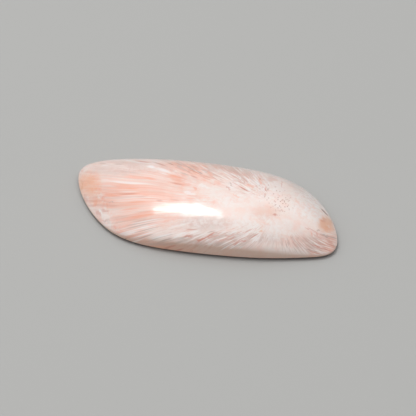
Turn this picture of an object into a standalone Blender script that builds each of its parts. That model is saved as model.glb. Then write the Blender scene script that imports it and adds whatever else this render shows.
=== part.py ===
"""Freeform domed cabochon cut and polished from scolecite, a fibrous zeolite.

The stone is one piece. Its base is ground flat, and a bevel undercuts the edge above
it. An upright wall stands tall along the two long sides and dies out round the four
corners. The dome above it falls gently along the stone and more steeply across it.

Lengths are in millimetres until they are scaled at the end. The origin is the centre
of the base, +X runs along the stone and +Z points up.
"""

import bmesh
import bpy
from mathutils import Vector

MM = 0.001

# The girdle is the outline seen from above. It is a closed cubic curve that these pulls
# draw towards themselves. Each row is x, y and the height of the wall's top near it.
GIRDLE_PULLS = (
    (-24.5, 3.5, 0.9),
    (-21.0, -3.5, 0.9),
    (-13.0, -11.5, 0.9),
    (-3.0, -12.0, 3.1),
    (13.5, -9.5, 2.9),
    (21.5, -6.5, 1.1),
    (28.5, -4.0, 0.9),
    (17.5, 14.5, 1.1),
    (-2.5, 11.0, 2.8),
    (-23.5, 6.5, 2.0),
)
STEPS_PER_PULL = 8

HEIGHT = 7.0

# The bevel under the edge is as high as it is deep, and its meeting with the wall is eased.
UNDERCUT = 0.55
RIM_REACH = 0.12
RIM_STEPS = 3

# The shoulder is the narrow rounding where the dome meets the wall.
SHOULDER_REACH = 0.7
SHOULDER_STEPS = 4

# The dome's height falls with the distance from the crown, raised to these powers.
FALL_ACROSS = 2.4
FALL_ALONG = 4.4
DOME_STEPS = 15

STONE_COLOUR = (0.86, 0.68, 0.61, 1.0)
STONE_ROUGHNESS = 0.15


def clear_scene():
    for old in list(bpy.data.objects):
        bpy.data.objects.remove(old)


def girdle_points():
    """The outline's points in order, each with the wall's height as its z."""
    curve = bpy.data.curves.new("girdle", "CURVE")
    curve.dimensions = "3D"
    curve.resolution_u = STEPS_PER_PULL
    spline = curve.splines.new("NURBS")
    spline.points.add(len(GIRDLE_PULLS) - 1)
    for point, pull in zip(spline.points, GIRDLE_PULLS):
        point.co = (*pull, 1.0)
    spline.order_u = 4
    spline.use_cyclic_u = True
    guide = bpy.data.objects.new("girdle", curve)
    points = [vertex.co.copy() for vertex in guide.to_mesh().vertices]
    bpy.data.objects.remove(guide)
    bpy.data.curves.remove(curve)
    return centred(points)


def middle_and_half(points, axis):
    """The middle of the points' spread along an axis, and half of that spread."""
    along = [point[axis] for point in points]
    return (max(along) + min(along)) / 2, (max(along) - min(along)) / 2


def centred(points):
    """The points moved so that the middle of their length and width is over the origin."""
    middle = Vector((middle_and_half(points, 0)[0], middle_and_half(points, 1)[0], 0.0))
    return [point - middle for point in points]


def dome_point(girdle, half_size, reach):
    """The dome's surface between the crown, where reach is 0, and the wall's top, where it is 1.

    The outline's corners soften upwards, so that the rings under the crown are ovals.
    """
    half_length, half_width = half_size
    outward = Vector((girdle.x / half_length, girdle.y / half_width)).normalized()
    oval = Vector((outward.x * half_length, outward.y * half_width))
    plan = oval.lerp(girdle.xy, reach)
    along = reach ** (FALL_ACROSS / FALL_ALONG)
    rise = 1 - reach**FALL_ACROSS
    return Vector((plan.x * along, plan.y * reach, girdle.z + (HEIGHT - girdle.z) * rise))


def rounding(start, corner, end, turn):
    """A point of the curve that rounds a corner, from start, where turn is 0, to end, where it is 1."""
    return start.lerp(corner, turn).lerp(corner.lerp(end, turn), turn)


def inward_ways(girdle):
    """For each point of the outline, the level way into the stone, square to the outline."""
    ways = []
    for index, point in enumerate(girdle):
        run = girdle[(index + 1) % len(girdle)] - girdle[index - 1]
        ways.append(Vector((-run.y, run.x, 0.0)).normalized())
    return ways


def bevel_point(girdle, inward, drop):
    """The undercut bevel, this far down from the girdle's edge."""
    return Vector((girdle.x, girdle.y, UNDERCUT)) + inward * drop - Vector((0.0, 0.0, drop))


def rim_point(girdle, inward, turn):
    """The rounding from the bevel, where turn is 0, to the wall, where it is 1."""
    corner = bevel_point(girdle, inward, 0.0)
    return rounding(bevel_point(girdle, inward, RIM_REACH), corner, corner + Vector((0.0, 0.0, RIM_REACH)), turn)


def shoulder_point(girdle, dome, turn):
    """The rounding from the wall, where turn is 0, over the wall's top edge to a point of the dome."""
    drop = min(SHOULDER_REACH, (girdle.z - UNDERCUT) / 2)
    return rounding(Vector((girdle.x, girdle.y, girdle.z - drop)), girdle, dome, turn)


def profile_rings(girdle):
    """Rings of points from the base up to just under the crown."""
    half_size = (middle_and_half(girdle, 0)[1], middle_and_half(girdle, 1)[1])
    dome_edge = 1 - SHOULDER_REACH / half_size[1]
    edge_points = list(zip(girdle, inward_ways(girdle)))
    rings = [[bevel_point(point, inward, UNDERCUT) for point, inward in edge_points]]
    for step in range(RIM_STEPS + 1):
        rings.append([rim_point(point, inward, step / RIM_STEPS) for point, inward in edge_points])
    for step in range(SHOULDER_STEPS + 1):
        turn = step / SHOULDER_STEPS
        rings.append([shoulder_point(point, dome_point(point, half_size, dome_edge), turn) for point in girdle])
    for step in range(1, DOME_STEPS):
        reach = dome_edge * (1 - step / DOME_STEPS)
        rings.append([dome_point(point, half_size, reach) for point in girdle])
    return rings


def stone_mesh():
    """A closed mesh: a face is extruded from ring to ring and drawn up to the crown, then the base is filled."""
    rings = profile_rings(girdle_points())
    bm = bmesh.new()
    top = bm.faces.new([bm.verts.new(point) for point in rings[0]])
    for ring in rings[1:]:
        top = bmesh.ops.extrude_discrete_faces(bm, faces=[top])["faces"][0]
        for vertex, point in zip(top.verts, ring):
            vertex.co = point
    crown = bmesh.ops.poke(bm, faces=[top])["verts"][0]
    crown.co = (0.0, 0.0, HEIGHT)
    bmesh.ops.holes_fill(bm, edges=[edge for edge in bm.edges if edge.is_boundary])
    bmesh.ops.recalc_face_normals(bm, faces=bm.faces)
    bmesh.ops.scale(bm, vec=(MM, MM, MM), verts=bm.verts)
    mesh = bpy.data.meshes.new("cabochon")
    bm.to_mesh(mesh)
    bm.free()
    mesh.shade_smooth()
    return mesh


def polished_scolecite():
    """Salmon to white zeolite under a high polish."""
    material = bpy.data.materials.new("polished scolecite")
    material.use_nodes = True
    shader = material.node_tree.nodes["Principled BSDF"]
    shader.inputs["Base Color"].default_value = STONE_COLOUR
    shader.inputs["Roughness"].default_value = STONE_ROUGHNESS
    shader.inputs["Metallic"].default_value = 0.0
    return material


def main():
    clear_scene()
    stone = bpy.data.objects.new("cabochon", stone_mesh())
    stone.data.materials.append(polished_scolecite())
    bpy.context.scene.collection.objects.link(stone)


main()
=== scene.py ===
"""Scolecite cabochon: a polished freeform stone of pink and white fibres, on a pale studio floor.

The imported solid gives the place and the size. The stone shown here has the same form at a
finer step, with the slight waviness of a hand polish.
"""

import math

import bmesh
import bpy
from bpy.props import FloatProperty, FloatVectorProperty, IntProperty, PointerProperty
from mathutils import Euler, Matrix, Vector, noise


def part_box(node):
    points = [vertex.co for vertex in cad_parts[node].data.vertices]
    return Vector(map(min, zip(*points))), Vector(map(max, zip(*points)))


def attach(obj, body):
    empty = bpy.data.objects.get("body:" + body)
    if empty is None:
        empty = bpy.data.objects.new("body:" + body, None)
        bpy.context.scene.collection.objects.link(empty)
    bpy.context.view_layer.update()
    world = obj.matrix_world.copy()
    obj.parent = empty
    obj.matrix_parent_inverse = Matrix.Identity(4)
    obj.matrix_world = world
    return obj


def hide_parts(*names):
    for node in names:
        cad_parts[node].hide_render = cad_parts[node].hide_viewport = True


bl_info = {
    "name": "Scolecite cabochon",
    "version": (1, 0, 0),
    "blender": (4, 5, 0),
    "location": "3D View > Sidebar > Cabochon",
    "description": "Cuts a domed cabochon from fibrous scolecite and lights it on a studio floor",
    "category": "Object",
}

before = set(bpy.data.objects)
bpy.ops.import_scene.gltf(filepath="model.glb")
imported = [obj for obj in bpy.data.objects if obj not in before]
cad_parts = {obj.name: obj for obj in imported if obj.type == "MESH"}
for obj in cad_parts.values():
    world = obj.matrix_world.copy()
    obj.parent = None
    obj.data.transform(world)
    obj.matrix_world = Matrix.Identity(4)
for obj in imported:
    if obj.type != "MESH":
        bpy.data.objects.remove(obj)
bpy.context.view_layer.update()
STONE_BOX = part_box("cabochon")

MM = 0.001

# The girdle is the outline seen from above. It is a closed cubic curve that these pulls
# draw towards themselves. Each row is x, y and the height of the wall's top near it, in mm.
GIRDLE_PULLS = (
    (-24.5, 3.5, 0.9),
    (-21.0, -3.5, 0.9),
    (-13.0, -11.5, 0.9),
    (-3.0, -12.0, 3.1),
    (13.5, -9.5, 2.9),
    (21.5, -6.5, 1.1),
    (28.5, -4.0, 0.9),
    (17.5, 14.5, 1.1),
    (-2.5, 11.0, 2.8),
    (-23.5, 6.5, 2.0),
)
# The steps of the rounding over the bevel, and of the one between the wall and the dome.
RIM_STEPS = 4
SHOULDER_STEPS = 8

# A hand polish leaves shallow waves, some long and some short, in waves to the mm. They fade
# out towards the base, below this height in mm.
LONG_WAVE = 0.16
SHORT_WAVE = 0.4
LONG_SHARE = 0.7
WAVES_FROM = 1.5

# The fibres fan out from a point inside the stone, under the right half of the dome. The
# sheets that they lie in all hold one axis. It leans by FAN_LEAN from the vertical, towards
# the stone's front turned by FAN_HEADING, both in degrees.
FAN_POINT = (13.0, 0.65, 4.9)
FAN_LEAN = 50.0
FAN_HEADING = 16.9
# Grown fibres sway, by up to half of this many mm, in slow waves of this many to the mm.
SWAY = 1.2
SWAY_WAVE = 0.09
# Below the fan's point the needles bend towards the level: their height is squeezed by BEND
# near the point, and less and less until BEND_RUN ends, in mm out from the point.
BEND = 0.5
BEND_RUN = (3.0, 13.0)
# Above it they level off far out: their height is stretched, up to LEVEL times where LEVEL_RUN
# ends, in mm out from the point.
LEVEL = 1.22
LEVEL_RUN = (23.0, 35.0)
# The needles change by this much in each mm along the sheets' axis, so they run deep.
SHEET_CHANGE = 0.003
# The needles show from here out, in mm. They fork twice as they grow, between these distances,
# and each time they are finer and longer. Each row of the growth is how many times as many
# and as long they are, and a shift that sets them apart.
NEEDLE_RUN = (4.0, 10.0)
FORKS = ((5.0, 11.0), (15.0, 23.0))
GROWTH = (
    (1.4, 0.12, 0.0),
    (2.2, 0.16, 7.0),
    (3.3, 1.0, 13.0),
)
# Stray white, tan and red needles lie everywhere from here out, in these strengths.
STRAY_RUN = (9.0, 16.0)
STRAY_FEW = 0.1
STRAY_MORE = 0.2
# The way on the fan towards the mottled left tip, where the mottling comes in along it, and
# how far it takes the needles' place.
TIP_WAY = (-1.0, -0.5, 0.0)
TIP_RUN = (29.0, 30.6)
TIP_SHARE = 0.85

# The tone is cream at 0, blush at BLUSH_TONE and salmon at 1. The swings are how far each
# pattern moves it. The ground is its level where nothing blushes.
GROUND_TONE = 0.1
BLUSH_TONE = 0.45
BAND_SWING = 0.1
NEEDLE_SWING = 0.2
MOTTLE_SWING = 0.4
MIST_SWING = 0.2
# The mottling and the mist, in waves to the mm, and how much of the needles' swing is left
# where nothing blushes.
MOTTLE_WAVE = 1.5
MIST_WAVE = 0.5
NEEDLES_IN_WHITE = 0.2
# A noise lies around 0.5. The narrower the span of it that is used, the crisper it looks.
SOFT_SPAN = (0.3, 0.7)
NEEDLE_SPAN = (0.36, 0.64)
MOTTLE_SPAN = (0.38, 0.62)

# Marks are placed in mm on the fan, across it to the right and up it from the fan's point.
# An area is a place, half its length in mm, its length over its width, its turn in degrees
# and its strength, and it fades out softly. These are where the stone is salmon.
BLUSHES = (
    (-24.7, 1.2, 14.6, 2, 0, 0.62),
    (-32.2, 2.3, 5.1, 2, 90, 0.55),
    (-25.4, 2.3, 8.5, 4, 0, 0.68),
    (-29.0, 2.0, 3.4, 2, 0, 0.5),
    (-17.8, 4.1, 4.1, 2, -15, 0.62),
    (-15.1, 5.3, 6.4, 4, -15, 0.58),
    (-21.7, -2.8, 8.0, 4, 0, 0.68),
    (-23.0, 0.2, 4.4, 4, 0, 0.64),
    (-12.6, 0.9, 3.9, 4, -15, 0.45),
    (-26.2, -4.3, 6.3, 2, -30, 0.56),
    (-32.2, -1.6, 4.1, 1, 0, 0.34),
    (-16.4, 6.6, 7.8, 4, 0, 0.52),
    (-18.1, -8.0, 7.1, 4, 0, 0.5),
    (8.7, -6.6, 3.1, 1, 0, 0.5),
    (3.0, -6.6, 3.7, 2, 0, 0.3),
    (-2.0, -2.0, 5.9, 2, 0, 0.2),
    (-7.3, 5.9, 8.4, 8, -15, 0.6),
)

# Where it is stained peach.
STAINS = (
    (-33.6, 3.4, 3.4, 1, 0, 0.85),
    (-32.0, 0.4, 1.4, 1, 0, 0.5),
    (9.1, -3.9, 1.5, 1, 0, 0.6),
    (-2.0, -1.4, 2.8, 2, 0, 0.2),
)

# Where thin red needles show.
HAIRS = (
    (-16.4, 6.2, 7.1, 4, -15, 0.4),
    (-11.0, 5.0, 4.6, 2, -15, 0.4),
    (-5.2, 3.4, 6.0, 2, -15, 0.5),
    (-8.7, -5.9, 9.1, 4, 15, 0.55),
    (7.3, -6.6, 5.2, 2, 0, 0.4),
    (-27.0, 0.5, 11.2, 2, 0, 0.25),
    (2.7, -6.6, 3.3, 2, 0, 0.3),
)

# Where white needles shine out.
SILKS = (
    (-30.6, -2.1, 4.1, 2, -45, 0.6),
    (-24.4, 1.4, 15.1, 2, 0, 0.3),
    (-16.4, -5.3, 9.9, 4, -15, 0.85),
    (-26.2, -5.2, 6.2, 4, -15, 0.8),
    (-5.7, 4.1, 8.0, 2, -15, 0.9),
    (-7.5, -5.9, 9.5, 4, 0, 0.9),
    (5.9, -6.9, 5.9, 2, 0, 0.65),
)

# Where the stone is chalky.
CHALKS = (
    (5.9, -0.2, 5.3, 1, 0, 0.9),
    (-3.4, -3.7, 10.0, 4, 0, 0.65),
    (-12.6, -3.4, 9.9, 8, 0, 0.5),
    (-2.7, 2.7, 6.6, 2, -15, 0.75),
    (-9.3, 0.5, 7.1, 4, 0, 0.5),
    (-22.6, 6.2, 11.7, 8, 0, 0.25),
    (-29.7, -2.5, 2.3, 2, -30, 0.5),
    (-31.9, -1.2, 4.9, 2, -45, 0.45),
    (-2.7, -5.2, 9.7, 4, 0, 0.6),
)

# Where tan needles lie between the white ones.
TANS = (
    (-20.8, -5.0, 11.6, 4, -15, 0.65),
    (-8.4, -6.2, 9.9, 4, 0, 0.6),
    (-15.5, 6.4, 9.1, 4, -15, 0.5),
    (-6.6, 4.1, 6.4, 2, -15, 0.4),
    (4.1, -7.1, 8.4, 4, 0, 0.65),
)

# Where the stone is greyer.
# Where it is greyer: greyer stone in places, and painted shade in a band along the front over the
# wall and along the far edge at the right.
GREYS_AND_SHADE = (
    # Painted shade, with greyer stone: a band along the front over the wall.
    (-8.0, -6.2, 12.9, 8, 0, 0.5),
    (-12.3, -3.4, 6.7, 4, 0, 0.45),
    (6.2, -6.9, 5.5, 2, 0, 0.45),
    (-27.6, 6.2, 7.8, 4, 0, 0.45),
    (-2.0, -1.6, 3.4, 2, 0, 0.25),
    (-8.4, 6.4, 9.2, 8, -15, 0.55),
    # Painted shade: a band along the far edge at the right.
    (4.3, 2.5, 5.6, 4, -45, 0.45),
)

# Where needles end in the surface, finer and coarser.
FINE_DOTS = (
    (0.8, -0.2, 2.4, 1, 0, 0.8),
)
COARSE_DOTS = (
    (-0.4, 1.2, 6.0, 2, -30, 0.45),
)

# Single streaks along the needles: a place, half a length in mm, that over half the width in
# radians, a colour and a strength.
STREAKS = (
    (-23.7, 7.5, 2.1, 250, "red", 0.6),
    (-20.8, 7.0, 1.6, 250, "brown", 0.35),
    (-18.8, 7.0, 0.9, 120, "brown", 0.4),
    (-26.0, 5.6, 2.7, 500, "tan", 0.45),
    (-24.4, 4.6, 3.6, 250, "salmon", 0.45),
    (-22.2, 4.4, 1.6, 120, "salmon", 0.6),
    (-26.5, 3.0, 3.0, 120, "salmon", 0.45),
    (-25.1, 2.6, 1.6, 250, "salmon", 0.8),
    (-26.0, 3.7, 5.9, 500, "white", 0.75),
    (-30.3, 4.2, 1.2, 250, "white", 0.6),
    (-25.8, 2.1, 2.3, 500, "white", 0.6),
    (-26.0, 1.7, 2.5, 500, "red", 0.7),
    (-29.3, 1.6, 1.6, 120, "salmon", 0.4),
    (-23.0, 1.3, 0.9, 120, "salmon", 0.5),
    (-25.8, 1.4, 2.3, 500, "white", 0.5),
    (-23.8, 1.0, 1.4, 250, "red", 0.4),
    (-24.4, 0.1, 2.3, 250, "salmon", 0.7),
    (-20.6, 0.3, 0.8, 60, "red", 0.45),
    (-25.4, -1.0, 2.3, 250, "salmon", 0.55),
    (-23.3, -2.2, 2.7, 120, "salmon", 0.6),
    (-25.3, -2.6, 2.7, 120, "salmon", 0.54),
    (-22.6, -3.1, 3.9, 500, "white", 0.7),
    (-23.8, -3.8, 3.6, 500, "tan", 0.68),
    (-22.9, -4.1, 3.7, 500, "white", 0.75),
    (-23.0, -4.6, 2.8, 500, "tan", 0.81),
    (-23.0, -5.3, 3.0, 500, "white", 0.75),
    (-22.7, -5.6, 2.0, 250, "brown", 0.47),
    (-20.1, -5.7, 2.7, 250, "white", 0.75),
    (-19.2, -6.2, 1.6, 250, "brown", 0.47),
    (-17.2, -5.6, 1.8, 250, "white", 0.75),
    (-16.2, -5.7, 1.8, 120, "brown", 0.47),
    (-26.6, -6.0, 0.7, 120, "brown", 0.81),
    (-24.2, -6.3, 1.8, 250, "white", 0.68),
    (-17.5, 3.5, 1.6, 120, "red", 0.5),
    (-18.0, 4.8, 1.1, 60, "salmon", 0.6),
    (-14.4, 5.8, 2.1, 250, "red", 0.7),
    (-14.4, 4.8, 0.9, 60, "red", 0.6),
    (-13.6, 5.8, 0.5, 60, "white", 0.6),
    (-15.5, 3.7, 1.8, 250, "white", 0.6),
    (-20.1, 5.9, 2.1, 120, "white", 0.75),
    (-22.2, 6.5, 1.0, 60, "white", 1.0),
    (-17.3, 6.2, 1.6, 250, "red", 0.35),
    (-16.2, 5.3, 1.2, 120, "tan", 0.5),
    (-15.1, 1.0, 1.2, 120, "salmon", 0.5),
    (-17.8, 0.6, 1.1, 250, "brown", 0.4),
    (-19.8, 5.2, 1.1, 120, "white", 0.5),
    (-19.0, 4.4, 0.9, 120, "white", 0.4),
)

# Single spots and hairs that cross the needles. They are placed as the areas are, and have a
# colour before the strength.
SPOTS = (
    (-31.0, 7.2, 1.1, 8, 0, "brown", 0.35),
    (-28.0, 7.0, 1.1, 8, 0, "tan", 0.6),
    (-30.5, 6.8, 1.1, 8, 0, "white", 0.55),
    # Painted highlight: a white spot on the far rim of the left tip, where the rim catches the
    # light.
    (-34.3, 5.9, 1.1, 4, 45, "white", 0.4),
    (-34.7, 3.3, 1.4, 4, -90, "orange", 0.7),
    (-33.1, 0.3, 0.3, 1, 0, "tan", 0.7),
    (-31.4, 1.2, 0.4, 1, 0, "white", 0.5),
    (-29.2, 0.2, 0.6, 4, 0, "tan", 0.7),
    (-34.0, 0.9, 1.0, 2, -75, "red", 0.35),
    (-31.9, 0.1, 0.7, 1, 0, "salmon", 0.5),
    (-31.6, -1.6, 0.9, 2, -45, "red", 0.38),
    (-31.0, -1.5, 0.9, 4, -45, "white", 0.7),
    (-30.2, -1.3, 0.8, 2, -15, "red", 0.38),
    (-29.9, -3.0, 0.9, 2, -15, "tan", 0.5),
    (-30.1, -2.4, 1.3, 2, -15, "white", 0.55),
    (-29.4, -3.4, 1.0, 2, -15, "white", 0.35),
    (-11.7, 5.2, 0.9, 2, -30, "salmon", 0.5),
    (-10.5, 3.7, 1.0, 2, -15, "salmon", 0.35),
    (-12.8, 6.4, 1.2, 8, -30, "white", 0.8),
    (-14.4, 2.8, 0.7, 2, -15, "salmon", 0.6),
    (-12.8, 3.0, 1.4, 4, -15, "white", 0.6),
    (-15.3, 1.9, 1.5, 4, -15, "white", 0.6),
    (-21.2, -7.3, 4.1, 4, -15, "salmon", 0.25),
    (-20.1, -8.0, 3.9, 4, -15, "orange", 0.35),
    (-18.7, -7.5, 1.7, 8, 15, "red", 0.6),
    (-19.8, -8.0, 1.3, 8, 15, "brown", 0.5),
    (-17.3, -8.1, 1.4, 8, 15, "red", 0.7),
    (-15.1, -8.2, 0.6, 4, 15, "red", 0.4),
    (-20.8, -7.1, 3.0, 8, 0, "tan", 0.4),
    (-5.9, 2.6, 1.3, 8, -30, "red", 0.85),
    (-5.6, 3.0, 1.1, 8, -30, "white", 0.5),
    (-6.0, 4.0, 0.7, 4, -45, "red", 0.75),
    (-8.5, 2.8, 0.6, 4, -30, "red", 0.5),
    (-7.2, 1.4, 0.9, 4, -30, "salmon", 0.4),
    (-4.8, 3.1, 1.2, 4, -15, "salmon", 0.4),
    (-2.9, 3.9, 1.1, 4, -75, "salmon", 0.5),
    (-3.0, 4.4, 0.4, 2, -75, "brown", 0.5),
    (-0.8, 4.4, 1.4, 2, -15, "red", 0.4),
    (0.9, 3.4, 0.8, 4, -90, "red", 0.5),
    (-2.1, 2.6, 0.2, 1, 0, "red", 0.7),
    (-1.5, 2.6, 0.2, 1, 0, "brown", 0.55),
    (-2.2, 1.5, 0.4, 2, 15, "red", 0.5),
    (-11.0, 4.5, 1.0, 8, -30, "red", 0.5),
    (-8.7, 3.6, 0.6, 4, -30, "white", 0.6),
    (-8.2, 3.4, 0.6, 4, -30, "brown", 0.5),
    (-8.0, 3.0, 0.6, 4, -30, "white", 0.7),
    (-5.3, 4.4, 0.8, 4, -45, "white", 0.7),
    (-6.5, 4.6, 0.8, 4, -45, "white", 0.6),
    (-13.6, 5.5, 0.9, 8, -30, "brown", 0.55),
    (-15.2, 6.2, 1.5, 16, -30, "brown", 0.4),
    (-0.5, -2.0, 0.6, 2, 0, "red", 0.8),
    (-12.5, -5.9, 2.2, 16, 30, "red", 0.85),
    (-13.2, -6.3, 0.9, 4, 15, "red", 0.7),
    (-13.7, -6.4, 0.5, 2, 0, "red", 0.6),
    (-11.7, -4.9, 0.8, 8, 15, "brown", 0.45),
    (-11.6, -5.4, 0.9, 4, 30, "red", 0.5),
    (-14.9, -4.5, 1.3, 8, 0, "red", 0.55),
    (-15.5, -5.7, 1.1, 4, 15, "red", 0.65),
    (-8.7, -5.5, 0.6, 2, 15, "red", 0.5),
    (-11.0, -6.3, 0.5, 2, 15, "red", 0.4),
    (-7.1, -6.8, 0.9, 4, 30, "red", 0.6),
    (-5.8, -6.5, 0.9, 4, 0, "red", 0.65),
    (-4.1, -5.6, 1.3, 8, 30, "red", 0.7),
    (-2.9, -4.9, 0.6, 2, 15, "orange", 0.7),
    (0.4, -4.4, 0.2, 1, 0, "red", 0.5),
    (-9.1, -7.6, 1.2, 8, 30, "white", 0.7),
    (-7.7, -7.5, 1.2, 8, 30, "white", 0.7),
    (-6.4, -7.6, 0.8, 4, 30, "white", 0.6),
    (-11.6, -6.9, 1.1, 8, 15, "white", 0.6),
    (-10.0, -6.1, 1.2, 8, 15, "white", 0.6),
    (-10.3, -4.6, 1.3, 8, 15, "white", 0.6),
    (-6.6, -5.7, 1.2, 8, 30, "white", 0.5),
    (6.4, -8.5, 1.7, 16, -15, "red", 0.7),
    (8.0, -7.9, 1.7, 16, -15, "red", 0.8),
    (9.1, -7.2, 1.4, 16, -15, "red", 0.7),
    (7.3, -8.3, 1.7, 16, -15, "white", 0.8),
    (8.5, -7.5, 1.4, 16, -15, "white", 0.8),
    (5.7, -8.1, 1.7, 16, -15, "brown", 0.4),
    (6.9, -7.4, 1.7, 16, -15, "red", 0.6),
    (7.7, -6.7, 1.4, 16, -30, "white", 0.7),
    (6.4, -6.6, 1.4, 16, -30, "red", 0.5),
    (6.0, -4.6, 1.4, 16, -30, "red", 0.5),
    (8.5, -3.5, 1.8, 1, 0, "orange", 0.8),
    (9.4, -4.6, 0.7, 1, 0, "orange", 0.4),
    (5.0, -4.4, 0.7, 4, -45, "red", 0.5),
    (5.8, -5.3, 0.7, 4, -75, "salmon", 0.5),
    (6.2, -5.7, 0.7, 4, -75, "white", 0.6),
    (6.8, -5.2, 0.7, 4, -75, "red", 0.4),
    (7.1, -4.6, 0.4, 2, 0, "brown", 0.35),
    (8.2, -5.5, 1.1, 4, -15, "brown", 0.4),
    (9.6, -5.9, 1.2, 8, -15, "brown", 0.4),
    (9.1, -5.3, 1.3, 8, -15, "white", 0.4),
    (8.1, -3.0, 0.6, 1, 0, "red", 0.3),
    (8.9, -4.0, 0.7, 4, -45, "white", 0.4),
    (8.4, -1.5, 1.3, 8, -45, "brown", 0.95),
)
# The edges of the areas and of the spots up to this slim are tattered, by up to half of this
# many mm, in waves of this many to the mm. A hair would be torn apart.
TATTER_SLIMMEST = 4
TATTER = 1.3
TATTER_WAVE = 1.2
# The marks reach this many times deeper into the stone than they are long.
MARK_DEPTH = 20.0
# The share of a mark, from its edge inwards, over which it fades.
AREA_SOFTNESS = 0.75
SPOT_SOFTNESS = 0.6
STREAK_SOFTNESS = 0.75

# The wall's painted shade, darker and warmer, comes in between these heights, in mm, and these
# slopes, and the painted shadow on the bevel between its own. The slope is 1 on the crown, 0 on the
# wall and below 0 under it.
WALL_HEIGHTS = (3.6, 2.4)
WALL_SLOPES = (0.5, 0.0)
WALL_SHADE_SHARE = 0.6
BEVEL_SLOPES = (-0.2, -0.5)
BEVEL_SHADOW_SHARE = 0.8
# The height between the soft and the hard needles after the polish, in mm. It is drawn several
# times as high as it is, so that the gloss is seen to break up on them.
GRAIN_DEPTH = 0.014
# The fibres under the gloss are rougher in some clouds of the mottling than in others.
FIBRE_ROUGHNESS = (0.3, 0.45)

# The floor reaches this far each way, in metres, and lies this far under the base, in mm, so
# that the two don't share a plane.
FLOOR_SIZE = 1.5
FLOOR_GAP = 0.02
# The lit panel hangs level over the stone, this many metres up, and is what the dome mirrors.
# Its corners are x and y at a height of 1, as the camera is turned.
PANEL_HEIGHT = 0.8
PANEL_CORNERS = (
    (-0.48, 0.06),
    (-0.09, 0.06),
    (-0.09, 0.21),
    (-0.13, 0.38),
    (-0.24, 0.31),
    (-0.4, 0.21),
    (-0.48, 0.15),
    (-0.53, 0.1),
)
# The way to the brightest part of the tent, as the camera is turned. The tent fades away from
# it until the cosine between them is down to TENT_EDGE.
TENT_TOP = (-0.17, 0.13, 1.0)
TENT_EDGE = 0.35
# What the camera looks at, in mm.
AIM = (0.08, 1.56, 0.0)


def linear(code):
    """An sRGB hex colour, such as 'f0b8a8', as linear red, green, blue and alpha."""
    parts = [int(code[i : i + 2], 16) / 255 for i in (0, 2, 4)]
    return (*(c / 12.92 if c <= 0.04045 else ((c + 0.055) / 1.055) ** 2.4 for c in parts), 1.0)


def node(tree, kind, inputs=None, **settings):
    """Adds a node with its settings and inputs.

    An input is given a value, an output, or a node, which stands for its first output. Inputs go
    by name, or by number where several share a name, as on Math and Mix nodes.
    """
    new = tree.nodes.new(kind)
    for name, value in settings.items():
        setattr(new, name, value)
    for name, value in (inputs or {}).items():
        if isinstance(value, bpy.types.Node):
            value = value.outputs[0]
        if isinstance(value, bpy.types.NodeSocket):
            tree.links.new(value, new.inputs[name])
        else:
            new.inputs[name].default_value = value
    return new


# The stone's form


def girdle_points(steps):
    """The outline's points in order, each with the wall's height as its z."""
    curve = bpy.data.curves.new("girdle", "CURVE")
    curve.dimensions = "3D"
    curve.resolution_u = steps
    spline = curve.splines.new("NURBS")
    spline.points.add(len(GIRDLE_PULLS) - 1)
    for point, pull in zip(spline.points, GIRDLE_PULLS):
        point.co = (*pull, 1.0)
    # The order of a cubic curve is 4.
    spline.order_u = 4
    spline.use_cyclic_u = True
    guide = bpy.data.objects.new("girdle", curve)
    points = [vertex.co.copy() for vertex in guide.to_mesh().vertices]
    bpy.data.objects.remove(guide)
    bpy.data.curves.remove(curve)
    return fitted(points)


def fitted(points):
    """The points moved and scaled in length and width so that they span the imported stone's box."""
    low, high = STONE_BOX
    for axis in (0, 1):
        along = [point[axis] for point in points]
        least = min(along)
        scale = (high[axis] - low[axis]) / MM / (max(along) - least)
        for point in points:
            point[axis] = low[axis] / MM + (point[axis] - least) * scale
    return points


def dome_point(girdle, half, shape, reach):
    """The dome's surface between the crown, where reach is 0, and the wall's top, where it is 1.

    The outline's corners soften upwards, so that the rings under the crown are ovals.
    """
    outward = Vector((girdle.x / half.x, girdle.y / half.y)).normalized()
    oval = Vector((outward.x * half.x, outward.y * half.y))
    plan = oval.lerp(girdle.xy, reach)
    along = reach ** (shape.fall_across / shape.fall_along)
    rise = 1 - reach**shape.fall_across
    height = shape.height / MM
    return Vector((plan.x * along, plan.y * reach, girdle.z + (height - girdle.z) * rise))


def rounding(start, corner, end, turn):
    """A point of the curve that rounds a corner. It is start where turn is 0, and end at 1."""
    return start.lerp(corner, turn).lerp(corner.lerp(end, turn), turn)


def inward_ways(girdle):
    """For each point of the outline, the level way into the stone, square to the outline."""
    ways = []
    for index in range(len(girdle)):
        run = girdle[(index + 1) % len(girdle)] - girdle[index - 1]
        ways.append(Vector((-run.y, run.x, 0.0)).normalized())
    return ways


def edge_profile(point, inward, dome_edge, shape):
    """The points over one point of the outline, from the base up the bevel and wall to the dome."""
    undercut = shape.undercut / MM
    up = Vector((0.0, 0.0, 1.0))
    corner = Vector((point.x, point.y, undercut))
    points = [corner + (inward - up) * undercut]
    rim = shape.rim_reach / MM
    under = corner + (inward - up) * rim
    over = corner + up * rim
    for step in range(RIM_STEPS + 1):
        points.append(rounding(under, corner, over, step / RIM_STEPS))
    drop = min(shape.shoulder_reach / MM, (point.z - undercut) / 2)
    for step in range(SHOULDER_STEPS + 1):
        points.append(rounding(point - up * drop, point, dome_edge, step / SHOULDER_STEPS))
    return points


def profile_rings(girdle, shape):
    """Rings of points from the base to just under the crown."""
    half = Vector((max(p.x for p in girdle), max(p.y for p in girdle)))
    edge = 1 - shape.shoulder_reach / MM / half.y
    profiles = []
    for point, inward in zip(girdle, inward_ways(girdle)):
        profiles.append(edge_profile(point, inward, dome_point(point, half, shape, edge), shape))
    rings = [list(ring) for ring in zip(*profiles)]
    for step in range(1, shape.dome_steps):
        reach = edge * (1 - step / shape.dome_steps)
        rings.append([dome_point(point, half, shape, reach) for point in girdle])
    return rings


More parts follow.
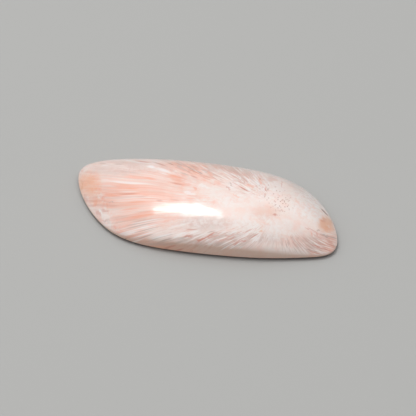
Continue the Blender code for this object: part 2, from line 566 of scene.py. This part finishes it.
def polish_waves(bm, depth):
    """Sinks the dome here and there by a few hundredths of a millimetre, as a hand polish does."""
    for vertex in bm.verts:
        long_wave = noise.noise(vertex.co * LONG_WAVE)
        short_wave = noise.noise(vertex.co * SHORT_WAVE)
        wave = long_wave * LONG_SHARE + short_wave * (1 - LONG_SHARE)
        lift = min(vertex.co.z / WAVES_FROM, 1.0)
        vertex.co -= vertex.normal * (depth * lift * (1 + wave) / 2)


def stone_mesh(shape):
    """A closed mesh: a face is extruded from ring to ring and drawn up to the crown.

    The base is filled last.
    """
    rings = profile_rings(girdle_points(shape.outline_steps), shape)
    bm = bmesh.new()
    top = bm.faces.new([bm.verts.new(point) for point in rings[0]])
    for ring in rings[1:]:
        top = bmesh.ops.extrude_discrete_faces(bm, faces=[top])["faces"][0]
        for vertex, point in zip(top.verts, ring):
            vertex.co = point
    crown = bmesh.ops.poke(bm, faces=[top])["verts"][0]
    crown.co = (0.0, 0.0, shape.height / MM)
    bmesh.ops.holes_fill(bm, edges=[edge for edge in bm.edges if edge.is_boundary])
    bmesh.ops.recalc_face_normals(bm, faces=bm.faces)
    bm.normal_update()
    polish_waves(bm, shape.polish_depth / MM)
    bmesh.ops.scale(bm, vec=(MM, MM, MM), verts=bm.verts)
    mesh = bpy.data.meshes.new("stone")
    bm.to_mesh(mesh)
    bm.free()
    mesh.shade_smooth()
    return mesh


# The stone's material


def strayed(tree, place, wave, detail, reach):
    """The place, moved about on the fan by up to about half the reach, in mm.

    It strays wave times in each mm.
    """
    drift = {"Vector": place, "Scale": wave, "Detail": detail}
    drift = node(tree, "ShaderNodeTexNoise", drift).outputs["Color"]
    drift = node(tree, "ShaderNodeVectorMath", {0: drift, 1: (0.5, 0.5, 0.5)}, operation="SUBTRACT")
    moved = {0: drift, 1: (reach, reach, 0.0), 2: place}
    return node(tree, "ShaderNodeVectorMath", moved, operation="MULTIPLY_ADD")


def fan_place(tree, place):
    """Millimetres from the fan's point, with the sheets' axis as z."""
    axis = Euler((math.radians(FAN_LEAN), 0.0, math.radians(FAN_HEADING)))
    turned = {"Vector": place, "Location": FAN_POINT, "Rotation": axis}
    return node(tree, "ShaderNodeMapping", turned, vector_type="TEXTURE")


def faded(tree, ends, long, soft, strength):
    """A mask that has its strength at one place, and falls to 0 at the distance long from it.

    The ends are the point in hand and that place. The outer soft share of the way is the fall.
    """
    distance = node(tree, "ShaderNodeVectorMath", ends, operation="DISTANCE").outputs["Value"]
    fall = {
        "Value": distance,
        "From Min": long * (1 - soft),
        "From Max": long,
        "To Min": strength,
        "To Max": 0.0,
    }
    return node(tree, "ShaderNodeMapRange", fall, interpolation_type="SMOOTHSTEP")


class Patches:
    """Oval marks on the fan.

    Those with the same turn and slimness share one turned, squeezed place.
    """

    def __init__(self, tree, place):
        self.tree = tree
        self.place = place
        self.tattered = strayed(tree, place, wave=TATTER_WAVE, detail=3.0, reach=TATTER)
        self.turned = {}

    def oval(self, across, up, long, slim, turn, strength, soft):
        """A mask with the strength inside an oval, which falls to 0 at its edge."""
        angle = math.radians(turn)
        if (turn, slim) not in self.turned:
            place = self.tattered if slim <= TATTER_SLIMMEST else self.place
            scale = (1.0, 1.0 / slim, MARK_DEPTH)
            squeeze = {"Vector": place, "Rotation": (0.0, 0.0, angle), "Scale": scale}
            squeezed = node(self.tree, "ShaderNodeMapping", squeeze, vector_type="TEXTURE")
            self.turned[turn, slim] = squeezed
        middle = Matrix.Rotation(-angle, 3, "Z") @ Vector((across, up, 0.0))
        ends = {0: self.turned[turn, slim], 1: (middle.x, middle.y * slim, 0.0)}
        return faded(self.tree, ends, long, soft, strength)

    def strongest(self, rows, ground):
        """The strongest of some areas at each point, over a ground level."""
        level = ground
        for row in rows:
            area = self.oval(*row, AREA_SOFTNESS)
            level = node(self.tree, "ShaderNodeMath", {0: area, 1: level}, operation="MAXIMUM")
        return level


class Fan:
    """Streaks that run out along the needles. Their masks differ in width, length and shift."""

    def __init__(self, tree, place):
        self.tree = tree
        flat = {0: place, 1: (1.0, 1.0, 0.0)}
        flat = node(tree, "ShaderNodeVectorMath", flat, operation="MULTIPLY")
        length = node(tree, "ShaderNodeVectorMath", {0: flat}, operation="LENGTH")
        self.out = length.outputs["Value"]
        parts = node(tree, "ShaderNodeSeparateXYZ", {0: flat})
        across = parts.outputs["X"]
        up = parts.outputs["Y"]
        stretch = {
            "Value": self.out,
            "From Min": LEVEL_RUN[0],
            "From Max": LEVEL_RUN[1],
            "To Min": 1.0,
            "To Max": LEVEL,
        }
        stretch = node(tree, "ShaderNodeMapRange", stretch)
        raised = node(tree, "ShaderNodeMath", {0: up, 1: stretch}, operation="MULTIPLY")
        raised = node(tree, "ShaderNodeMath", {0: up, 1: raised}, operation="MAXIMUM")
        left = node(tree, "ShaderNodeMath", {0: across, 1: -1.0}, operation="MULTIPLY")
        self.angle = node(tree, "ShaderNodeMath", {0: raised, 1: left}, operation="ARCTAN2")
        self.sheets = {}
        self.way = self.needle_way(place, across, up, raised)
        self.forks = []
        for start, end in FORKS:
            grown = {"Value": self.out, "From Min": start, "From Max": end}
            grown = node(tree, "ShaderNodeMapRange", grown, interpolation_type="SMOOTHSTEP")
            self.forks.append(grown)

    def needle_way(self, place, across, up, raised):
        """The way that a needle runs at each point, with a slow change along the sheets' axis."""
        squeeze = {
            "Value": self.out,
            "From Min": BEND_RUN[0],
            "From Max": BEND_RUN[1],
            "To Min": BEND,
        }
        squeeze = node(self.tree, "ShaderNodeMapRange", squeeze)
        bent = node(self.tree, "ShaderNodeMath", {0: up, 1: squeeze}, operation="MULTIPLY")
        bent = node(self.tree, "ShaderNodeMath", {0: raised, 1: bent}, operation="MAXIMUM")
        bent = node(self.tree, "ShaderNodeCombineXYZ", {"X": across, "Y": bent})
        way = node(self.tree, "ShaderNodeVectorMath", {0: bent}, operation="NORMALIZE")
        change = {0: place, 1: (0.0, 0.0, SHEET_CHANGE), 2: way}
        return node(self.tree, "ShaderNodeVectorMath", change, operation="MULTIPLY_ADD")

    def strands(self, count, length, shift):
        """About count streaks to the radian, each about twice the length long in mm.

        The noise's scale works on the run too, so the run is divided by the count. The shift
        sets them apart from other strands.
        """
        run = {0: self.out, 1: 1 / (2 * length * count), 2: shift}
        run = node(self.tree, "ShaderNodeMath", run, operation="MULTIPLY_ADD")
        inputs = {"Vector": self.way, "W": run, "Scale": count, "Detail": 2.0, "Roughness": 0.55}
        return node(self.tree, "ShaderNodeTexNoise", inputs, noise_dimensions="4D")

    def needles(self, count, length, shift):
        """Strands that fork as they grow, so that they stay 0.2 to 0.4 mm wide."""
        stages = []
        for more, longer, apart in GROWTH:
            stages.append(self.strands(count * more, length * longer, shift + apart))
        grown = stages[0]
        for fork, forked in zip(self.forks, stages[1:]):
            grown = node(self.tree, "ShaderNodeMix", {0: fork, 2: grown, 3: forked})
        return grown

    def streak(self, across, up, long, slender, strength):
        """A mask for one streak.

        Its half width is its half length times its distance out, over its slenderness.
        """
        if slender not in self.sheets:
            turn = {0: self.angle, 1: slender}
            turn = node(self.tree, "ShaderNodeMath", turn, operation="MULTIPLY")
            sheet = node(self.tree, "ShaderNodeCombineXYZ", {"X": turn, "Y": self.out})
            self.sheets[slender] = sheet
        out = math.hypot(across, up)
        start, end = LEVEL_RUN
        run = min(max((out - start) / (end - start), 0.0), 1.0)
        raised = max(up, up * (1 + (LEVEL - 1) * run))
        ends = {0: self.sheets[slender], 1: (math.atan2(raised, -across) * slender, out, 0.0)}
        return faded(self.tree, ends, long, STREAK_SOFTNESS, strength)


def needle_waves(tree, fan, streaks, cloud):
    """The swing of the tone from needle to needle. The left tip of the stone is mottled instead."""
    swings = []
    for pattern, span, swing in (
        (streaks.strands(count=38.0, length=10.0, shift=0.0), SOFT_SPAN, BAND_SWING),
        (streaks.needles(count=24.0, length=9.0, shift=3.0), NEEDLE_SPAN, NEEDLE_SWING),
        (cloud, MOTTLE_SPAN, MOTTLE_SWING),
    ):
        swung = {
            "Value": pattern,
            "From Min": span[0],
            "From Max": span[1],
            "To Min": -swing,
            "To Max": swing,
        }
        swings.append(node(tree, "ShaderNodeMapRange", swung))
    bands, threads, mottle = swings
    waves = node(tree, "ShaderNodeMath", {0: bands, 1: threads}, operation="ADD")
    reach = {"Value": streaks.out, "From Min": NEEDLE_RUN[0], "From Max": NEEDLE_RUN[1]}
    reach = node(tree, "ShaderNodeMapRange", reach)
    waves = node(tree, "ShaderNodeMath", {0: waves, 1: reach}, operation="MULTIPLY")
    leftward = node(tree, "ShaderNodeVectorMath", {0: fan, 1: TIP_WAY}, operation="DOT_PRODUCT")
    leftward = leftward.outputs["Value"]
    tip = {"Value": leftward, "From Min": TIP_RUN[0], "From Max": TIP_RUN[1], "To Max": TIP_SHARE}
    tip = node(tree, "ShaderNodeMapRange", tip)
    return node(tree, "ShaderNodeMix", {0: tip, 2: waves, 3: mottle})


def tone_of(tree, fan, streaks, patches, waves):
    """How salmon the stone is.

    The needles show most where it is salmon. Mist drifts over all, and far out it is drawn out
    along the needles.
    """
    blush = patches.strongest(BLUSHES, GROUND_TONE)
    shown = {
        "Value": blush,
        "From Min": GROUND_TONE,
        "From Max": BLUSH_TONE,
        "To Min": NEEDLES_IN_WHITE,
    }
    shown = node(tree, "ShaderNodeMapRange", shown)
    tone = node(tree, "ShaderNodeMath", {0: waves, 1: shown, 2: blush}, operation="MULTIPLY_ADD")
    mist = {"Vector": fan, "Scale": MIST_WAVE, "Detail": 3.0, "Roughness": 0.6}
    mist = node(tree, "ShaderNodeTexNoise", mist)
    drift = streaks.strands(count=16.0, length=9.0, shift=70.0)
    mist = node(tree, "ShaderNodeMix", {0: streaks.forks[-1], 2: mist, 3: drift})
    mist = {
        "Value": mist,
        "From Min": SOFT_SPAN[0],
        "From Max": SOFT_SPAN[1],
        "To Min": -MIST_SWING,
        "To Max": MIST_SWING,
    }
    mist = node(tree, "ShaderNodeMapRange", mist)
    return node(tree, "ShaderNodeMath", {0: tone, 1: mist}, operation="ADD")


def dots(tree, place, scale, size):
    """Needle ends, seen end on. Scale is in dots to the mm, and size is a share of their gap.

    A dot is solid to a third of its size, and fades from there.
    """
    cells = {"Vector": place, "Scale": scale}
    cells = node(tree, "ShaderNodeTexVoronoi", cells, voronoi_dimensions="2D")
    fall = {"Value": cells, "From Min": size / 3, "From Max": size, "To Min": 1.0, "To Max": 0.0}
    return node(tree, "ShaderNodeMapRange", fall, interpolation_type="SMOOTHSTEP")


def coats(tree, tints, fan, streaks, patches, cloud, tone):
    """Each colour and the mask that it is laid by, from the ground up."""
    yield tints.blush, node(tree, "ShaderNodeMapRange", {"Value": tone, "From Max": BLUSH_TONE})
    yield tints.salmon, node(tree, "ShaderNodeMapRange", {"Value": tone, "From Min": BLUSH_TONE})
    # Greyer stone, with painted shade along the front over the wall and along the far edge at the
    # right, in the tan colour.
    yield tints.tan, patches.strongest(GREYS_AND_SHADE, 0.0)
    stray = {"Value": streaks.out, "From Min": STRAY_RUN[0], "From Max": STRAY_RUN[1]}
    stray = node(tree, "ShaderNodeMapRange", stray)
    few = node(tree, "ShaderNodeMath", {0: stray, 1: STRAY_FEW}, operation="MULTIPLY")
    more = node(tree, "ShaderNodeMath", {0: stray, 1: STRAY_MORE}, operation="MULTIPLY")
    silk = streaks.needles(count=22.0, length=7.0, shift=31.0)
    hairs = streaks.needles(count=24.0, length=6.0, shift=57.0)
    # Each row is a colour, its pattern, the pattern's values where the colour starts and where it
    # is full, the areas that it lies in and its strength outside them.
    for tint, pattern, start, full, rows, ground in (
        (tints.peach, cloud, 0.1, 0.4, STAINS, 0.0),
        (tints.white, cloud, 0.4, 0.6, CHALKS, 0.0),
        (tints.tan, silk, 0.5, 0.4, TANS, few),
        (tints.white, silk, 0.5, 0.62, SILKS, more),
        (tints.red, hairs, 0.51, 0.61, HAIRS, few),
        (tints.dot, dots(tree, fan, scale=1.7, size=0.24), 0.0, 1.0, FINE_DOTS, 0.0),
        (tints.dot, dots(tree, fan, scale=1.1, size=0.2), 0.0, 1.0, COARSE_DOTS, 0.0),
    ):
        strength = patches.strongest(rows, ground)
        mask = {"Value": pattern, "From Min": start, "From Max": full, "To Max": strength}
        yield tint, node(tree, "ShaderNodeMapRange", mask, interpolation_type="SMOOTHSTEP")


def painted_side_shade(tree, tints, place):
    """Painted shade on the upright wall, darker and warmer, and painted shadow in dark red-brown on
    the bevel under it.
    """
    normal = node(tree, "ShaderNodeNewGeometry").outputs["Normal"]
    slope = node(tree, "ShaderNodeSeparateXYZ", {0: normal}).outputs["Z"]
    height = node(tree, "ShaderNodeSeparateXYZ", {0: place}).outputs["Z"]
    steep = {
        "Value": slope,
        "From Min": WALL_SLOPES[0],
        "From Max": WALL_SLOPES[1],
        "To Max": WALL_SHADE_SHARE,
    }
    steep = node(tree, "ShaderNodeMapRange", steep)
    low = {"Value": height, "From Min": WALL_HEIGHTS[0], "From Max": WALL_HEIGHTS[1]}
    low = node(tree, "ShaderNodeMapRange", low)
    # Painted shade: the upright wall, which faces away from the light, is laid darker and warmer.
    yield tints.wall_shade, node(tree, "ShaderNodeMath", {0: steep, 1: low}, operation="MULTIPLY")
    # Painted shadow: the bevel under the edge is laid dark red-brown, where the contact shadow
    # falls.
    under = {
        "Value": slope,
        "From Min": BEVEL_SLOPES[0],
        "From Max": BEVEL_SLOPES[1],
        "To Max": BEVEL_SHADOW_SHARE,
    }
    yield tints.bevel_shadow, node(tree, "ShaderNodeMapRange", under)


def marks(tints, streaks, patches):
    """The single marks, each with its colour, which lie over the dome and the wall alike."""
    for *form, tint, strength in STREAKS:
        yield getattr(tints, tint), streaks.streak(*form, strength)
    for *form, tint, strength in SPOTS:
        yield getattr(tints, tint), patches.oval(*form, strength, SPOT_SOFTNESS)


def scolecite(tints):
    """Scolecite sawn across its needles and polished.

    Silky streaks fan out in it, white, cream and salmon, under a gloss as of glass.
    """
    material = bpy.data.materials.new("polished scolecite")
    material.use_nodes = True
    tree = material.node_tree
    shader = tree.nodes["Principled BSDF"]
    spot = node(tree, "ShaderNodeTexCoord").outputs["Object"]
    place = node(tree, "ShaderNodeVectorMath", {0: spot, "Scale": 1 / MM}, operation="SCALE")
    fan = fan_place(tree, place)
    streaks = Fan(tree, strayed(tree, fan, wave=SWAY_WAVE, detail=1.0, reach=SWAY))
    patches = Patches(tree, fan)
    cloud = {"Vector": place, "Scale": MOTTLE_WAVE, "Detail": 5.0, "Roughness": 0.7}
    cloud = node(tree, "ShaderNodeTexNoise", cloud)
    waves = needle_waves(tree, fan, streaks, cloud)
    tone = tone_of(tree, fan, streaks, patches, waves)
    colour = tints.cream
    for tint, mask in (
        *coats(tree, tints, fan, streaks, patches, cloud, tone),
        *painted_side_shade(tree, tints, place),
        *marks(tints, streaks, patches),
    ):
        # The colours of a Mix node are its inputs 6 and 7 and its output 2.
        laid = node(tree, "ShaderNodeMix", {0: mask, 6: colour, 7: tint}, data_type="RGBA")
        colour = laid.outputs[2]
    tree.links.new(colour, shader.inputs["Base Color"])

    # The needles are of uneven hardness, so the polish leaves some of them proud.
    grain = node(tree, "ShaderNodeBump", {"Height": waves, "Distance": GRAIN_DEPTH * MM})
    tree.links.new(grain.outputs[0], shader.inputs["Normal"])
    tree.links.new(grain.outputs[0], shader.inputs["Coat Normal"])
    # Light that enters the fibres comes back dull, under a gloss as of glass.
    dull = {
        "Value": cloud,
        "From Min": SOFT_SPAN[0],
        "From Max": SOFT_SPAN[1],
        "To Min": FIBRE_ROUGHNESS[0],
        "To Max": FIBRE_ROUGHNESS[1],
    }
    dull = node(tree, "ShaderNodeMapRange", dull)
    tree.links.new(dull.outputs[0], shader.inputs["Roughness"])
    # Scolecite bends light as much as window glass does. A little light passes through it,
    # red the furthest.
    shader.inputs["IOR"].default_value = 1.51
    shader.inputs["Coat Weight"].default_value = 1.0
    shader.inputs["Coat Roughness"].default_value = 0.06
    shader.inputs["Coat IOR"].default_value = 1.51
    shader.inputs["Subsurface Weight"].default_value = 0.1
    shader.inputs["Subsurface Radius"].default_value = (1.0, 0.4, 0.25)
    shader.inputs["Subsurface Scale"].default_value = 0.5 * MM
    return material


# The properties


class StoneShape(bpy.types.PropertyGroup):
    """The sizes of the cabochon."""

    height: FloatProperty(
        name="Height",
        description="From the flat base to the crown",
        default=STONE_BOX[1].z,
        unit="LENGTH",
        precision=4,
    )
    fall_across: FloatProperty(
        name="Fall across",
        description="How late the dome turns down across the stone",
        default=2.4,
        min=1.5,
    )
    fall_along: FloatProperty(
        name="Fall along",
        description="How late the dome turns down along the stone",
        default=4.4,
        min=1.5,
    )
    shoulder_reach: FloatProperty(
        name="Shoulder",
        description="Reach of the rounding between the dome and the wall",
        default=0.7 * MM,
        unit="LENGTH",
        precision=4,
    )
    undercut: FloatProperty(
        name="Undercut",
        description="Height and depth of the bevel under the edge",
        default=0.55 * MM,
        unit="LENGTH",
        precision=5,
    )
    rim_reach: FloatProperty(
        name="Rim easing",
        description="Reach of the rounding between the bevel and the wall",
        default=0.12 * MM,
        unit="LENGTH",
        precision=5,
    )
    polish_depth: FloatProperty(
        name="Polish waves",
        description="Depth of the hollows left by a hand polish",
        default=0.04 * MM,
        unit="LENGTH",
        precision=5,
    )
    outline_steps: IntProperty(
        name="Outline steps",
        description="Points between two pulls of the outline",
        default=24,
        min=4,
    )
    dome_steps: IntProperty(
        name="Dome steps",
        description="Rings between the shoulder and the crown",
        default=60,
        min=8,
    )


class StoneTints(bpy.types.PropertyGroup):
    """The colours of the fibres and of the marks."""

    white: FloatVectorProperty(
        name="White needle",
        description="Chalky white needles",
        subtype="COLOR",
        size=4,
        default=linear("fbf2ef"),
    )
    cream: FloatVectorProperty(
        name="Cream",
        description="The ground of the white right half",
        subtype="COLOR",
        size=4,
        default=linear("f7e6df"),
    )
    blush: FloatVectorProperty(
        name="Blush",
        description="The pale pink between the needles",
        subtype="COLOR",
        size=4,
        default=linear("f8cfc1"),
    )
    salmon: FloatVectorProperty(
        name="Salmon",
        description="The deepest of the broad bands",
        subtype="COLOR",
        size=4,
        default=linear("f7a98b"),
    )
    red: FloatVectorProperty(
        name="Red hair",
        description="Thin iron-stained needles",
        subtype="COLOR",
        size=4,
        default=linear("d48a76"),
    )
    orange: FloatVectorProperty(
        name="Orange spot",
        description="Stained patch at the right end",
        subtype="COLOR",
        size=4,
        default=linear("f0b592"),
    )
    brown: FloatVectorProperty(
        name="Brown line",
        description="Dirt in a nick or a seam",
        subtype="COLOR",
        size=4,
        default=linear("9a6c5c"),
    )
    tan: FloatVectorProperty(
        name="Tan needle",
        description="Greyish tan needles",
        subtype="COLOR",
        size=4,
        default=linear("cdb3aa"),
    )
    peach: FloatVectorProperty(
        name="Peach tip",
        description="The stained left tip",
        subtype="COLOR",
        size=4,
        default=linear("ffbf9f"),
    )
    dot: FloatVectorProperty(
        name="Needle ends",
        description="Dots where needles end in the surface",
        subtype="COLOR",
        size=4,
        default=linear("b98074"),
    )
    # Painted shade: the colour of the upright wall, darker and warmer than the dome, as the wall
    # lies in shade.
    wall_shade: FloatVectorProperty(
        name="Wall",
        description="Darker stone seen in the upright wall",
        subtype="COLOR",
        size=4,
        default=linear("d9ae94"),
    )
    # Painted shadow: the dark red-brown of the bevel under the edge, where the contact shadow falls.
    bevel_shadow: FloatVectorProperty(
        name="Bevel",
        description="Stained bevel under the edge",
        subtype="COLOR",
        size=4,
        default=linear("7c3a2c"),
    )


class StudioSettings(bpy.types.PropertyGroup):
    """The floor, the lights and the camera."""

    floor: FloatVectorProperty(
        name="Floor",
        description="Pale matt paper",
        subtype="COLOR",
        size=4,
        default=linear("b4b4b2"),
    )
    key_power: FloatProperty(
        name="Key light",
        description="Strength of the panel over the stone",
        default=11.9,
        min=0.0,
    )
    overhead: FloatProperty(
        name="Overhead",
        description="Strength of the tent over the stone",
        default=1.22,
        min=0.0,
    )
    fill: FloatProperty(
        name="Fill",
        description="Strength of the tent's foot",
        default=0.33,
        min=0.0,
    )
    elevation: FloatProperty(
        name="Camera elevation",
        description="Angle over the floor",
        default=math.radians(40.0),
        subtype="ANGLE",
    )
    heading: FloatProperty(
        name="Camera heading",
        description="Turn from the stone's front",
        default=math.radians(16.9),
        subtype="ANGLE",
    )
    distance: FloatProperty(
        name="Camera distance",
        description="To the aim point",
        default=0.42,
        unit="LENGTH",
    )
    view_width: FloatProperty(
        name="View width",
        description="Width of the picture at the aim point",
        default=0.074,
        unit="LENGTH",
    )


# The operators


class SCOLECITE_OT_stone(bpy.types.Operator):
    """Cuts, polishes and colours the stone in the place of the plain solid"""

    bl_idname = "scolecite.stone"
    bl_label = "Cut the stone"

    def execute(self, context):
        scene = context.scene
        stone = bpy.data.objects.new("stone", stone_mesh(scene.cabochon_shape))
        scene.collection.objects.link(stone)
        stone.data.materials.append(scolecite(scene.cabochon_tints))
        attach(stone, "root")
        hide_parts("cabochon")
        return {"FINISHED"}


class SCOLECITE_OT_stage(bpy.types.Operator):
    """Lays the floor, hangs the lights and places the camera"""

    bl_idname = "scolecite.stage"
    bl_label = "Set the stage"

    def execute(self, context):
        scene = context.scene
        studio = scene.cabochon_studio
        self.lay_floor(scene, studio)
        turned = Matrix.Rotation(studio.heading, 3, "Z")
        self.hang_panel(scene, studio, turned)
        self.light_tent(scene, studio, turned)
        scene.view_settings.view_transform = "Standard"
        self.place_camera(scene, studio, turned)
        return {"FINISHED"}

    def lay_floor(self, scene, studio):
        """A sheet of pale paper, level under the stone."""
        bm = bmesh.new()
        bmesh.ops.create_grid(bm, x_segments=1, y_segments=1, size=FLOOR_SIZE)
        bmesh.ops.translate(bm, verts=bm.verts, vec=(0.0, 0.0, -FLOOR_GAP * MM))
        mesh = bpy.data.meshes.new("floor")
        bm.to_mesh(mesh)
        bm.free()
        floor = bpy.data.objects.new("floor", mesh)
        scene.collection.objects.link(floor)
        # Matt paper gives a soft shadow and no shine.
        material = bpy.data.materials.new("matt paper")
        material.use_nodes = True
        shader = material.node_tree.nodes["Principled BSDF"]
        shader.inputs["Base Color"].default_value = studio.floor
        shader.inputs["Roughness"].default_value = 0.9
        mesh.materials.append(material)

    def light_tent(self, scene, studio, turned):
        """A pale tent round the stone, brightest overhead and a little to the left."""
        world = bpy.data.worlds.new("tent")
        world.use_nodes = True
        tree = world.node_tree
        ray = node(tree, "ShaderNodeTexCoord").outputs["Generated"]
        brightest = turned @ Vector(TENT_TOP).normalized()
        height = node(tree, "ShaderNodeVectorMath", {0: ray, 1: brightest}, operation="DOT_PRODUCT")
        rise = {
            "Value": height.outputs["Value"],
            "From Min": TENT_EDGE,
            "To Min": studio.fill,
            "To Max": studio.overhead,
        }
        glow = node(tree, "ShaderNodeMapRange", rise)
        tree.links.new(glow.outputs[0], tree.nodes["Background"].inputs["Strength"])
        tree.nodes["Background"].inputs["Color"].default_value = (1.0, 1.0, 1.0, 1.0)
        scene.world = world

    def hang_panel(self, scene, studio, turned):
        """A soft box with trimmed corners, level over the stone and facing down."""
        bm = bmesh.new()
        corners = []
        for x, y in PANEL_CORNERS:
            corners.append(bm.verts.new(turned @ Vector((x, y, 1.0)) * PANEL_HEIGHT))
        panel_face = bm.faces.new(corners)
        panel_face.normal_update()
        if panel_face.normal.z > 0:
            panel_face.normal_flip()
        mesh = bpy.data.meshes.new("panel")
        bm.to_mesh(mesh)
        bm.free()
        panel = bpy.data.objects.new("panel", mesh)
        panel.visible_camera = False
        scene.collection.objects.link(panel)
        # Cloth lit from behind glows evenly, so the dome mirrors one white patch.
        material = bpy.data.materials.new("lit diffuser")
        material.use_nodes = True
        tree = material.node_tree
        tree.nodes.clear()
        glow = node(tree, "ShaderNodeEmission", {"Strength": studio.key_power})
        node(tree, "ShaderNodeOutputMaterial", {"Surface": glow.outputs[0]})
        mesh.materials.append(material)

    def place_camera(self, scene, studio, turned):
        """The camera looks at the aim point, from the studio's elevation and distance."""
        aim = Vector(AIM) * MM
        away = turned @ Vector((0.0, -math.cos(studio.elevation), math.sin(studio.elevation)))
        lens = bpy.data.cameras.new("camera")
        lens.lens = lens.sensor_width * studio.distance / studio.view_width
        camera = bpy.data.objects.new("camera", lens)
        camera.location = aim + away * studio.distance
        camera.rotation_euler = away.to_track_quat("Z", "Y").to_euler()
        scene.collection.objects.link(camera)
        scene.camera = camera


class SCOLECITE_PT_sidebar(bpy.types.Panel):
    """Lists the settings, with a button for each operator"""

    bl_idname = "SCOLECITE_PT_sidebar"
    bl_label = "Cabochon"
    bl_space_type = "VIEW_3D"
    bl_region_type = "UI"
    bl_category = "Cabochon"

    def draw(self, context):
        for group, operator in (
            ("cabochon_shape", "scolecite.stone"),
            ("cabochon_tints", None),
            ("cabochon_studio", "scolecite.stage"),
        ):
            box = self.layout.box()
            settings = getattr(context.scene, group)
            for name in settings.__annotations__:
                box.prop(settings, name)
            if operator:
                box.operator(operator)


CLASSES = (
    StoneShape,
    StoneTints,
    StudioSettings,
    SCOLECITE_OT_stone,
    SCOLECITE_OT_stage,
    SCOLECITE_PT_sidebar,
)


def register():
    for cls in CLASSES:
        bpy.utils.register_class(cls)
    bpy.types.Scene.cabochon_shape = PointerProperty(type=StoneShape)
    bpy.types.Scene.cabochon_tints = PointerProperty(type=StoneTints)
    bpy.types.Scene.cabochon_studio = PointerProperty(type=StudioSettings)


def unregister():
    del bpy.types.Scene.cabochon_shape
    del bpy.types.Scene.cabochon_tints
    del bpy.types.Scene.cabochon_studio
    for cls in reversed(CLASSES):
        bpy.utils.unregister_class(cls)


def main():
    register()
    bpy.ops.scolecite.stone()
    bpy.ops.scolecite.stage()


if __name__ == "__main__":
    main()
